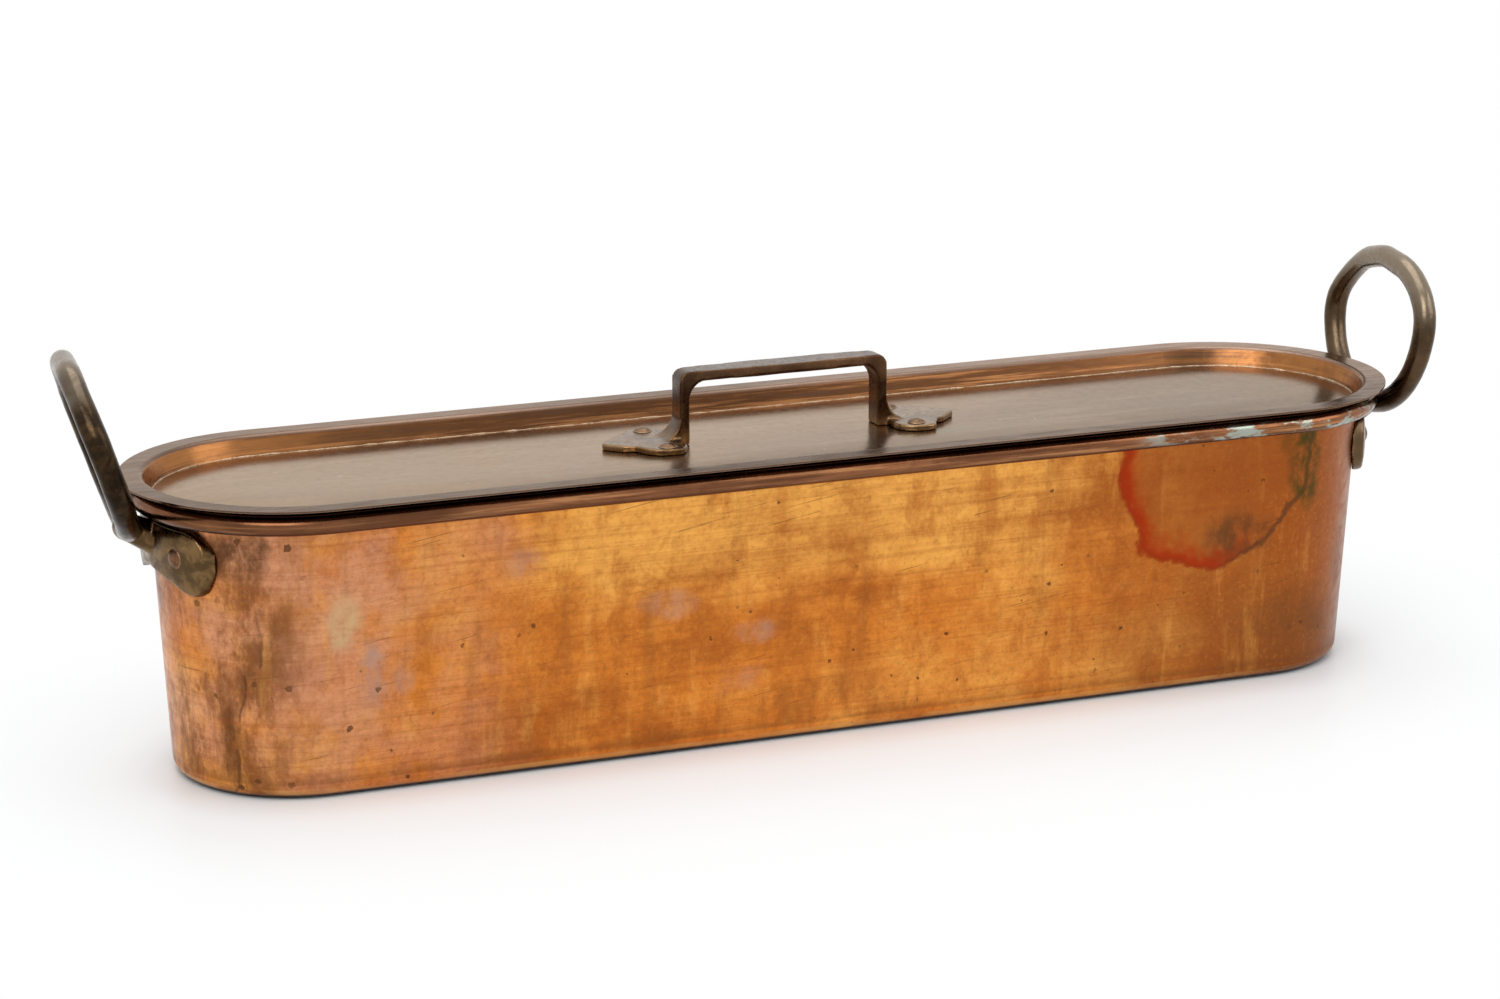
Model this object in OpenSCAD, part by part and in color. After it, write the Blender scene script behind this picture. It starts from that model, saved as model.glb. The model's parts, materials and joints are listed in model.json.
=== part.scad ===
// Copper fish kettle: an obround pan with a wired rim, a drop-in lid and a lift-out drainer.
// The long axis is X, the front is -Y, and the pan stands on Z = 0.

/* [Pan] */
// Length of the straight sides
straight_l = 480; // [300:1:600]
// Outer radius of the round ends at the base
base_r = 58; // [45:0.5:75]
// Outer radius of the round ends where the flare starts
mouth_r = 64.5; // [50:0.5:85]
// Height of the pan to the top of the rim
pan_h = 135; // [100:1:180]
// Copper sheet of the pan
sheet_t = 1.6; // [1.2:0.1:2.4]
// Outer radius of the bottom edge
bottom_edge_r = 7; // [5:0.5:10]
// Width of the brazed joint round the base plate
braze_gap = 0.05; // [0.05:0.05:0.2]

/* [Rim] */
// Diameter of the rolled rim
bead_d = 9; // [7:0.2:12]
// How far the flare carries the wall out to the rolled rim
flare_out = 2.4; // [1:0.1:4]
// Height of the flare under the middle of the rolled rim
flare_h = 6.5; // [5:0.5:8]
// Room between the wire and the sheet rolled round it
wire_fit = 0.1; // [0.05:0.05:0.3]
// Angle left open where the roll comes back to the wall
roll_open = 32; // [20:1:45]

/* [Lid] */
// Copper sheet of the lid
lid_t = 1; // [0.8:0.1:1.6]
// How far the flange reaches past the rolled rim
lid_overhang = 3.8; // [1:0.1:6]
// Daylight between the flange and the top of the rim
lid_stand = 3.2; // [1:0.1:5]
// Depth of the sunken tray at its edge
lid_depth = 9.2; // [6:0.1:14]
// Lean of the tray's wall
lid_draft = 24; // [15:1:30]
// Inner radius of the bend between flange and tray
lid_bend_r = 2; // [1:0.1:3]
// Room between the tray's wall and the rim that it rests on
lid_fit = 0.3; // [0.2:0.05:0.6]
// Rise of the panel's flat middle above its edge
panel_rise = 3; // [1:0.5:5]
// Half width of the panel's flat middle
panel_flat = 27; // [24:1:40]

/* [Lid handle] */
// Length of the lid handle over its legs
strap_l = 106; // [80:1:140]
// Height of the lid handle above the panel
strap_h = 35; // [26:1:45]
// Thickness of the bar and the legs
strap_t = 5; // [4:0.5:7]
// Width of the bar
strap_w = 15; // [11:0.5:20]
// Width of the legs
leg_w = 11; // [8:0.5:16]
// Radius of the fillets inside the bar's corners
strap_fillet_r = 9; // [5:0.5:12]
// Length of a foot from leg to tip
spade_l = 37; // [30:1:45]
// Radius of the two shoulders of a foot
spade_r = 10.5; // [8:0.5:12]
// Distance of the shoulders from the handle's middle line
spade_y = 13; // [10:0.5:15]
// Thickness of a foot
spade_t = 3.2; // [2.4:0.2:5]
// Radius of the sweep from leg to foot
spade_sweep_r = 11; // [7:0.5:14]
// How far the sweep runs down into the foot
sweep_sink = 0.3; // [0.2:0.1:0.6]
// Diameter of the lid rivets
lid_rivet_d = 4.5; // [4:0.5:6]
// Distance of the lid rivets from the handle's middle line
lid_rivet_y = 16.5; // [14:0.5:17]

/* [Loop handles] */
// Diameter of the loop's rod
rod_d = 11; // [8:0.5:14]
// Half width of the loop on the middle of its rod
loop_half_w = 45; // [36:1:55]
// Radius of the left loop's upper shoulders, which is also the height of its upper part
left_shoulder_r = 33; // [22:0.5:38]
// Radius of the right loop's upper shoulders
right_shoulder_r = 28; // [22:0.5:38]
// Outward lean of the left loop
left_lean = 18; // [4:1:30]
// Outward lean of the right loop
right_lean = 6; // [4:1:30]
// Turn of the left loop towards the front
left_loop_turn = -7; // [-12:1:12]
// Turn of the right loop towards the front
right_loop_turn = 2; // [-12:1:12]
// Turn of both feet round the end towards the front
foot_turn = 4; // [-8:1:8]
// Room between the loop and the rolled rim
loop_room = 2.6; // [1.5:0.1:6]
// Thickness of the foot at its middle
foot_t = 5.5; // [4:0.5:7]
// Radius that crowns the face of the foot
foot_crown_r = 60; // [45:1:90]
// Radius of the foot's two lobes
lobe_r = 13.2; // [10:0.2:15]
// Distance of the lobes from the middle of the foot
lobe_y = 26.5; // [22:0.5:30]
// Radius of the middle of the foot
foot_mid_r = 10.5; // [9:0.5:12]
// Height of the foot's middle above the lobes
foot_notch = 3; // [2:0.5:4]
// Room between the foot and the rolled rim above it
foot_room = 2.4; // [1:0.2:5]
// Diameter of the neck at the loop
neck_d = 13; // [11.5:0.5:14]
// Diameter of the neck at the foot
neck_foot_d = 16; // [13:0.5:18]
// Diameter of the handle rivets
rivet_d = 4.5; // [4:0.5:6]

/* [Drainer] */
// Copper sheet of the drainer
drainer_t = 1.4; // [1:0.1:2]
// Room between the drainer and the bend at the pan's floor
drainer_room = 0.5; // [0.3:0.1:3]
// Room between the drainer and the pan's floor
drainer_lift = 0.3; // [0.2:0.05:0.6]
// Height of the drainer's turned-down edge
drainer_edge_h = 14; // [10:1:20]
// Diameter of the drain holes
hole_d = 9; // [6:0.5:12]
// Distance between drain holes
hole_pitch = 30; // [24:1:40]
// Rod of the drainer's bails
bail_d = 6; // [5:0.5:8]
// Height of a bail above the drainer
bail_h = 92; // [60:1:100]
// Width of a bail between the middles of its legs
bail_w = 62; // [50:1:70]
// Distance of a bail from the drainer's end
bail_inset = 38; // [32:1:60]
// Radius of a bail's corners
bail_bend_r = 16; // [12:1:25]
// Diameter of a bail's feet
bail_foot_d = 17; // [15:1:20]
// Thickness of a bail's feet
bail_foot_t = 3; // [2:0.5:4]
// Diameter of the drainer rivets
drainer_rivet_d = 4; // [3.5:0.5:5]

/* [Rivets] */
// Rivet head's diameter as a share of the shank's
head_share = 2; // [1.7:0.05:2.1]
// Depth of the flat that seats a rivet head
seat_depth = 0.4; // [0.3:0.1:0.8]
// Room round a rivet head in its seat
seat_room = 0.2; // [0.1:0.05:0.4]

/* [Hidden] */
$fn = 96;
half_l = straight_l / 2;
bead_r = bead_d / 2;
wire_r = bead_r - sheet_t;
// Middle of the rolled rim in the section of the wall
bead_x = mouth_r + flare_out + wire_r;
bead_z = pan_h - bead_r;
rim_r = bead_x + bead_r;
flare_z = bead_z - flare_h;
wall_slope = (mouth_r - base_r) / (flare_z - bottom_edge_r);
function wall_r_at(z) = base_r + (z - bottom_edge_r) * wall_slope;

// The lid hangs by the wall of its tray on the inner shoulder of the rolled rim
lid_r = rim_r + lid_overhang;
flange_z = pan_h + lid_stand;
lid_top_z = flange_z + lid_t;
tray_z = lid_top_z - lid_depth;
tray_skin = lid_t / cos(lid_draft);
function tray_r_at(z) = bead_x - (bead_r + lid_fit) / cos(lid_draft) + (z - bead_z) * tan(lid_draft);
panel_r = tray_r_at(tray_z);
// Middle of the bend between flange and tray
bend_z = flange_z - lid_bend_r;
bend_x = tray_r_at(bend_z + lid_bend_r * sin(lid_draft)) + lid_bend_r * cos(lid_draft);
panel_top_z = tray_z + panel_rise;
slope_w = panel_r - tray_skin - panel_flat;
panel_arc_r = (slope_w * slope_w + panel_rise * panel_rise) / (2 * panel_rise);

// Middle of the shoulders of the lid handle's feet
spade_x = strap_l / 2 + spade_r;

// Loop of the handles, in its own plane with the bottom of the rod's middle line at the origin
rod_r = rod_d / 2;

// Foot of the handles, on the slope of the wall
foot_top_z = pan_h - bead_d - foot_room;
lobe_z = foot_top_z - lobe_r;
foot_mid_z = lobe_z + foot_notch;
loop_z = foot_mid_z + lobe_r * 0.6;
loop_x = bead_x + sqrt(pow(bead_r + rod_r + loop_room, 2) - pow(bead_z - loop_z, 2));
rivet_angle = asin(lobe_y * 0.9 / (wall_r_at(lobe_z) + foot_t));
rivet_x = wall_r_at(lobe_z) + foot_t - seat_depth;
rivet_grip = foot_t - seat_depth + sheet_t;

// Drainer
drainer_r = base_r - bottom_edge_r - drainer_room;
drainer_z = sheet_t + drainer_lift;
plate_z = drainer_z + drainer_edge_h - drainer_t;
drainer_top_z = plate_z + drainer_t;
bail_x = half_l + drainer_r - bail_inset;
hole_rows = floor((2 * drainer_r - 2 * hole_d) / (hole_pitch * 0.8));
hole_columns = floor((straight_l + drainer_r) / hole_pitch);

// Carries a section round the obround: x is the distance from the long axis, y the height
module round_the_pan() {
    for (side = [0, 180]) {
        rotate([0, 0, side]) {
            translate([half_l, 0, 0])
                rotate([0, 0, -90])
                    rotate_extrude(angle = 180)
                        children();
            translate([-half_l, 0, 0])
                rotate([90, 0, 90])
                    linear_extrude(straight_l)
                        children();
        }
    }
}

// Carries a section that starts at the long axis, as one sheet without a middle joint
module sheet_over_the_pan() {
    for (side = [0, 180])
        rotate([0, 0, side])
            translate([half_l, 0, 0])
                rotate([0, 0, -90])
                    rotate_extrude(angle = 180)
                        children();
    translate([-half_l, 0, 0])
        rotate([90, 0, 90])
            linear_extrude(straight_l) {
                children();
                mirror([1, 0, 0])
                    children();
            }
}

// Obround outline with round ends of radius r
module obround(r) {
    square([straight_l, 2 * r], center = true);
    for (side = [-1, 1])
        translate([side * half_l, 0])
            circle(r);
}

// Two discs and the straight band between them, set in by a hair so that it meets both discs cleanly
module belt(a, ra, b, rb) {
    set_in = 0.03;
    along = atan2(b[1] - a[1], b[0] - a[0]);
    spread = acos((ra - rb) / norm(b - a));
    touch = [for (s = [-1, 1]) [cos(along + s * spread), sin(along + s * spread)]];
    polygon([
        a + (ra - set_in) * touch[0],
        b + (rb - set_in) * touch[0],
        b + (rb - set_in) * touch[1],
        a + (ra - set_in) * touch[1]
    ]);
    translate(a)
        circle(ra);
    translate(b)
        circle(rb);
}

// Rivet along +Z: the head stands on Z = 0, the shank goes down to a flat tail below the grip
module rivet(d, grip) {
    head_r = d * head_share / 2;
    head_h = d * 0.4;
    dome_r = (head_r * head_r + head_h * head_h) / (2 * head_h);
    rotate_extrude() {
        intersection() {
            square([head_r, head_h]);
            translate([0, head_h - dome_r])
                circle(dome_r);
        }
        translate([0, -grip])
            square([d / 2, grip + 0.01]);
        translate([0, -grip - d * 0.25])
            square([head_r, d * 0.25]);
    }
}

// Room for a rivet: its hole and the flats that seat its head and its tail
module rivet_hole(d, grip) {
    seat_r = d * head_share / 2 + seat_room;
    translate([0, 0, -grip - d / 2])
        cylinder(h = grip + d, d = d);
    cylinder(h = d, r = seat_r);
    translate([0, 0, -grip - d / 2])
        cylinder(h = d / 2, r = seat_r);
}

// Pan

module side_wall_section() {
    polygon([
        [base_r, bottom_edge_r],
        [mouth_r, flare_z],
        [mouth_r + flare_out, bead_z],
        [mouth_r + flare_out - sheet_t, bead_z],
        [mouth_r - sheet_t, flare_z],
        [base_r - sheet_t, bottom_edge_r]
    ]);
    turned_in_edge();
    translate([bead_x, bead_z])
        difference() {
            circle(bead_r);
            circle(wire_r);
            polygon([
                [0, 0],
                bead_d * [cos(181), sin(181)],
                bead_d * [cos(181 + roll_open / 2), sin(181 + roll_open / 2)],
                bead_d * [cos(200 + roll_open), sin(200 + roll_open)]
            ]);
        }
}

// Bottom of the wall, bent in to meet the base plate
module turned_in_edge() {
    translate([base_r - bottom_edge_r, bottom_edge_r])
        intersection() {
            difference() {
                circle(bottom_edge_r);
                circle(bottom_edge_r - sheet_t);
            }
            translate([0, -bottom_edge_r])
                square(bottom_edge_r);
        }
}

module side_wall() {
    color("peru")
        difference() {
            round_the_pan()
                side_wall_section();
            for (side = [0, 1])
                at_rivets(side)
                    rivet_hole(rivet_d, rivet_grip);
        }
}

module base_plate() {
    color("chocolate")
        linear_extrude(sheet_t)
            obround(base_r - bottom_edge_r - braze_gap);
}

module rim_wire() {
    color("dimgray")
        round_the_pan()
            translate([bead_x, bead_z])
                circle(wire_r - wire_fit);
}

// Loop handles

// Puts its children at the right end, turned towards the front, or mirrored at the left end
module at_end(side, turn) {
    mirror([side, 0, 0])
        translate([half_l, 0, 0])
            rotate([0, 0, -turn])
                children();
}

module at_rivets(side) {
    at_end(side, foot_turn)
        for (lobe = [-1, 1])
            rotate([0, 0, lobe * rivet_angle])
                translate([rivet_x, 0, lobe_z])
                    rotate([0, 90, 0])
                        children();
}

// One arc of the rod
module rod_arc(r, from, to) {
    rotate([0, 0, from])
        rotate_extrude(angle = to - from)
            translate([r, 0])
                circle(rod_r);
}

// Ring of the handle: a half round below, two tighter shoulders and a straight crown above
module loop_ring(shoulder_r) {
    crown_half = loop_half_w - shoulder_r;
    translate([0, loop_half_w]) {
        rod_arc(loop_half_w, 180, 360);
        translate([crown_half, 0])
            rod_arc(shoulder_r, 0, 90);
        translate([-crown_half, 0])
            rod_arc(shoulder_r, 90, 180);
        translate([-crown_half, shoulder_r])
            rotate([0, 90, 0])
                cylinder(h = 2 * crown_half, r = rod_r);
    }
}

// Cone of the round end's outer face, filled and moved outwards
module end_cone(out) {
    translate([0, 0, bottom_edge_r])
        cylinder(h = pan_h, r1 = base_r + out, r2 = wall_r_at(bottom_edge_r + pan_h) + out);
}

// Neck from inside the middle of the foot out to the bottom of the loop
module neck() {
    start = [wall_r_at(foot_mid_z), 0, foot_mid_z];
    reach = [loop_x, 0, loop_z] - start;
    difference() {
        translate(start)
            rotate([0, atan2(reach[0], reach[2]), 0])
                cylinder(h = norm(reach), d1 = neck_foot_d, d2 = neck_d * 0.95);
        end_cone(foot_t / 3);
    }
    translate([loop_x, 0, loop_z])
        rotate([90, 0, 0])
            sphere(d = neck_d);
}

// Two-lobed foot, cast to the curve of the wall and crowned on its face
module foot() {
    difference() {
        intersection() {
            translate([base_r / 2, 0, 0])
                rotate([90, 0, 90])
                    linear_extrude(rim_r)
                        for (lobe = [-1, 1])
                            belt([0, foot_mid_z], foot_mid_r, [lobe * lobe_y, lobe_z], lobe_r);
            rotate_extrude()
                intersection() {
                    translate([wall_r_at(lobe_z) + foot_t - foot_crown_r, lobe_z])
                        circle(foot_crown_r);
                    translate([0, lobe_z - 2 * lobe_r])
                        square([rim_r + foot_t, 4 * lobe_r]);
                }
        }
        end_cone(0);
    }
}

module loop_handle(side, lean, loop_turn, shoulder_r) {
    color("darkgoldenrod")
        difference() {
            at_end(side, foot_turn) {
                foot();
                neck();
                translate([loop_x, 0, loop_z])
                    rotate([0, 0, foot_turn - loop_turn])
                        rotate([0, lean, 0])
                            rotate([90, 0, 90])
                                loop_ring(shoulder_r);
            }
            at_rivets(side)
                rivet_hole(rivet_d, 2 * rivet_grip);
        }
}

module left_handle() {
    loop_handle(1, left_lean, left_loop_turn, left_shoulder_r);
}

module right_handle() {
    loop_handle(0, right_lean, right_loop_turn, right_shoulder_r);
}

module handle_rivets(side) {
    color("sienna")
        at_rivets(side)
            rivet(rivet_d, rivet_grip);
}

module left_handle_rivets() {
    handle_rivets(1);
}

module right_handle_rivets() {
    handle_rivets(0);
}

// Lid

module lid_rim() {
    color("burlywood")
        round_the_pan()
            lid_rim_section();
}

// Flange, bend and leaning wall of the tray
module lid_rim_section() {
    steps = 8;
    turns = [for (i = [0 : steps]) 90 + i / steps * (90 - lid_draft)];
    polygon(concat(
        [[lid_r, flange_z], [lid_r, lid_top_z]],
        [for (a = turns) [bend_x, bend_z] + (lid_bend_r + lid_t) * [cos(a), sin(a)]],
        [[panel_r - tray_skin, tray_z], [panel_r, tray_z]],
        [for (i = [0 : steps]) [bend_x, bend_z] + lid_bend_r * [cos(turns[steps - i]), sin(turns[steps - i])]]
    ));
}

// Half section of the panel's upper face, filled down to z = 0 of the section
module panel_crown() {
    square([panel_r, 2 * lid_t]);
    translate([0, 2 * lid_t - lid_t])
        intersection() {
            square([panel_r, panel_rise + lid_t]);
            union() {
                square([panel_flat, panel_rise + lid_t]);
                translate([panel_flat, panel_rise + lid_t - panel_arc_r])
                    circle(panel_arc_r);
            }
        }
}

module lid_panel() {
    color("tan")
        difference() {
            translate([0, 0, tray_z - 2 * lid_t])
                sheet_over_the_pan()
                    difference() {
                        panel_crown();
                        translate([0, -lid_t])
                            panel_crown();
                    }
            at_lid_rivets()
                rivet_hole(lid_rivet_d, spade_t + lid_t);
        }
}

module at_lid_rivets() {
    for (end = [-1, 1])
        for (shoulder = [-1, 1])
            translate([end * spade_x, shoulder * lid_rivet_y, panel_top_z + spade_t])
                children();
}

// Side view of the lid handle's bar, legs and their sweep into the feet, standing on y = 0
module strap_side() {
    difference() {
        union() {
            translate([-strap_l / 2, 0])
                square([strap_l, strap_h - strap_t]);
            for (end = [-1, 1])
                translate([end * (strap_l / 2 - strap_t), strap_h - strap_t])
                    circle(strap_t);
            translate([strap_t - strap_l / 2, strap_h - strap_t])
                square([strap_l - 2 * strap_t, strap_t]);
            translate([-strap_l / 2 - spade_sweep_r, 0])
                square([strap_l + 2 * spade_sweep_r, spade_t + spade_sweep_r]);
        }
        for (end = [-1, 1])
            translate([end * (strap_l / 2 + spade_sweep_r), spade_t + spade_sweep_r - sweep_sink])
                circle(spade_sweep_r);
        strap_opening();
    }
}

// Finger gap between the legs, with filleted upper corners
module strap_opening() {
    half = strap_l / 2 - strap_t;
    top = strap_h - strap_t;
    translate([-half, -1])
        square([2 * half, top - strap_fillet_r + 1]);
    translate([strap_fillet_r - half, -1])
        square([2 * (half - strap_fillet_r), top + 1]);
    for (end = [-1, 1])
        translate([end * (half - strap_fillet_r), top - strap_fillet_r])
            circle(strap_fillet_r);
}

// Plan of the lid handle: a bar that narrows to its legs and widens again where they sweep out
module strap_plan() {
    sag = (strap_w - leg_w) / 2;
    bow_r = (strap_l * strap_l / 4 + sag * sag) / (2 * sag);
    intersection() {
        square([strap_l, strap_w], center = true);
        translate([0, strap_w / 2 - bow_r])
            circle(bow_r, $fn = 1440);
        translate([0, bow_r - strap_w / 2])
            circle(bow_r, $fn = 1440);
    }
    for (end = [-1, 1])
        polygon([
            [end * (strap_l / 2 - strap_t), leg_w / 2],
            [end * (strap_l / 2 + spade_sweep_r), spade_r * 0.8],
            [end * (strap_l / 2 + spade_sweep_r), -spade_r * 0.8],
            [end * (strap_l / 2 - strap_t), -leg_w / 2]
        ]);
}

// Plan of the spade-shaped feet
module spade_plan() {
    tip_r = spade_r / 3;
    for (end = [-1, 1])
        for (shoulder = [-1, 1]) {
            belt([end * spade_x, shoulder * spade_y], spade_r, [end * (strap_l / 2 + spade_l - tip_r), 0], tip_r);
            belt([end * spade_x, 0], spade_r, [end * spade_x, shoulder * spade_y], spade_r);
        }
}

module lid_handle() {
    color("saddlebrown")
        difference() {
            translate([0, 0, panel_top_z]) {
                linear_extrude(spade_t)
                    spade_plan();
                intersection() {
                    linear_extrude(strap_h)
                        strap_plan();
                    rotate([90, 0, 0])
                        linear_extrude(4 * spade_y, center = true)
                            strap_side();
                }
            }
            at_lid_rivets()
                rivet_hole(lid_rivet_d, 2 * spade_t);
        }
}

module lid_handle_rivets() {
    color("sienna")
        at_lid_rivets()
            rivet(lid_rivet_d, spade_t + lid_t);
}

// Drainer

module drainer_plate() {
    color("lightgray")
        difference() {
            translate([0, 0, drainer_z])
                difference() {
                    linear_extrude(drainer_edge_h)
                        obround(drainer_r);
                    translate([0, 0, -drainer_t])
                        linear_extrude(drainer_edge_h)
                            obround(drainer_r - drainer_t);
                }
            for (row = [0 : hole_rows - 1])
                drain_row(row);
            for (end = [-1, 1])
                at_bail_feet(end)
                    rivet_hole(drainer_rivet_d, bail_foot_t + drainer_t);
        }
}

// One row of drain holes, shifted half a pitch in every other row
module drain_row(row) {
    y = (row - (hole_rows - 1) / 2) * hole_pitch * 0.8;
    count = hole_columns - row % 2;
    for (i = [0 : count - 1])
        translate([(i - (count - 1) / 2) * hole_pitch, y, plate_z - 1])
            if (abs((i - (count - 1) / 2) * hole_pitch) < bail_x - bail_foot_d)
                cylinder(h = drainer_t + 2, d = hole_d, $fn = 32);
}

module at_bail_feet(end) {
    for (leg = [-1, 1])
        translate([end * bail_x - end * bail_foot_d * 0.3, leg * bail_w / 2, drainer_top_z + bail_foot_t])
            children();
}

// Bail bent from one rod, its ends flattened to feet
module bail(end) {
    top = drainer_top_z + bail_h - bail_d / 2;
    side_y = bail_w / 2;
    color("silver")
        difference() {
            union() {
                translate([end * bail_x, 0, top])
                    rotate([90, 0, 0])
                        cylinder(h = bail_w - 2 * bail_bend_r, d = bail_d, center = true);
                for (leg = [-1, 1]) {
                    translate([end * bail_x, leg * (side_y - bail_bend_r), top - bail_bend_r])
                        rotate([90, 0, 90])
                            rotate([0, 0, leg > 0 ? 0 : 90])
                                rotate_extrude(angle = 90)
                                    translate([bail_bend_r, 0])
                                        circle(d = bail_d);
                    translate([end * bail_x, leg * side_y, drainer_top_z])
                        cylinder(h = bail_h - bail_bend_r - bail_d / 2, d = bail_d);
                    translate([end * bail_x - end * bail_foot_d * 0.3, leg * side_y, drainer_top_z])
                        cylinder(h = bail_foot_t, d = bail_foot_d);
                }
            }
            at_bail_feet(end)
                rivet_hole(drainer_rivet_d, 2 * bail_foot_t);
        }
}

module drainer_left_handle() {
    bail(-1);
}

module drainer_right_handle() {
    bail(1);
}

module drainer_rivets() {
    color("sienna")
        for (end = [-1, 1])
            at_bail_feet(end)
                rivet(drainer_rivet_d, bail_foot_t + drainer_t);
}

side_wall();
base_plate();
rim_wire();
left_handle();
right_handle();
left_handle_rivets();
right_handle_rivets();
lid_rim();
lid_panel();
lid_handle();
lid_handle_rivets();
drainer_plate();
drainer_left_handle();
drainer_right_handle();
drainer_rivets();
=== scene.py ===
"""Looks of a copper fish kettle: finishes, cast handles, brazed seam, floor, light and camera."""

import json
import logging
import math
from dataclasses import dataclass
from enum import Enum
from functools import partial, reduce

import bpy
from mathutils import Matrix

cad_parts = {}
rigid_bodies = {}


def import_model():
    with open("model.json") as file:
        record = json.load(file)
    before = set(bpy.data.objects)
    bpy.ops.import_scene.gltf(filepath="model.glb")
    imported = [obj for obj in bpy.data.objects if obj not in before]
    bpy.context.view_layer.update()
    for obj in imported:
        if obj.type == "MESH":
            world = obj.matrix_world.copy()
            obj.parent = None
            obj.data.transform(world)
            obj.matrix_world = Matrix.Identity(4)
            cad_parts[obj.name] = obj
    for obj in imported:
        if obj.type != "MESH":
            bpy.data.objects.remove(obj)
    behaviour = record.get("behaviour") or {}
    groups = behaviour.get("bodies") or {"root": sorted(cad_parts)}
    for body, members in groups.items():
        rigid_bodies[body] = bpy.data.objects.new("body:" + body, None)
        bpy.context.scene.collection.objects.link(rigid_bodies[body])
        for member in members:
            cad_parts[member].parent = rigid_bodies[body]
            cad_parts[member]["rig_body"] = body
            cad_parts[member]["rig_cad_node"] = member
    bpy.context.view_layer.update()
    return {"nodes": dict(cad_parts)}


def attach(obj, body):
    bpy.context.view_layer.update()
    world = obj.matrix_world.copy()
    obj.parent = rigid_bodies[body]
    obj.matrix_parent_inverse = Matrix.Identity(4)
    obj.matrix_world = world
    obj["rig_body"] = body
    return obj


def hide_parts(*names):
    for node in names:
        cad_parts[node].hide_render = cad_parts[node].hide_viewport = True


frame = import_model()
LOG = logging.getLogger("fish_kettle")

Socket = bpy.types.NodeSocket
Tone = tuple[float, float, float, float]
Point = tuple[float, float, float]
EVEN: Point = (1.0, 1.0, 1.0)
VALUE = "NodeSocketFloat"
VECTOR = "NodeSocketVector"


def tone(red: float, green: float, blue: float) -> Tone:
    """Gives an opaque linear colour."""
    return (red, green, blue, 1.0)


class Side(Enum):
    """End of the pan, with the direction of X that points out of it."""

    LEFT = -1
    RIGHT = 1


class Body(Enum):
    """Bodies of the kettle that new pieces ride on."""

    KETTLE = "kettle"
    LID = "lid"


@dataclass(frozen=True)
class PanForm:
    """Sizes of the pan that the finishes follow, in metres."""

    half_straight: float = 0.240
    base_r: float = 0.058
    mouth_r: float = 0.0645
    edge_z: float = 0.007
    flare_z: float = 0.124
    bead_low_z: float = 0.1262
    sheet: float = 0.0016
    tray_r: float = 0.0636
    tray_z: float = 0.1301

    @property
    def slope(self) -> float:
        """Outward lean of the wall for each metre of height."""
        return (self.mouth_r - self.base_r) / (self.flare_z - self.edge_z)


FORM = PanForm()


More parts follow.
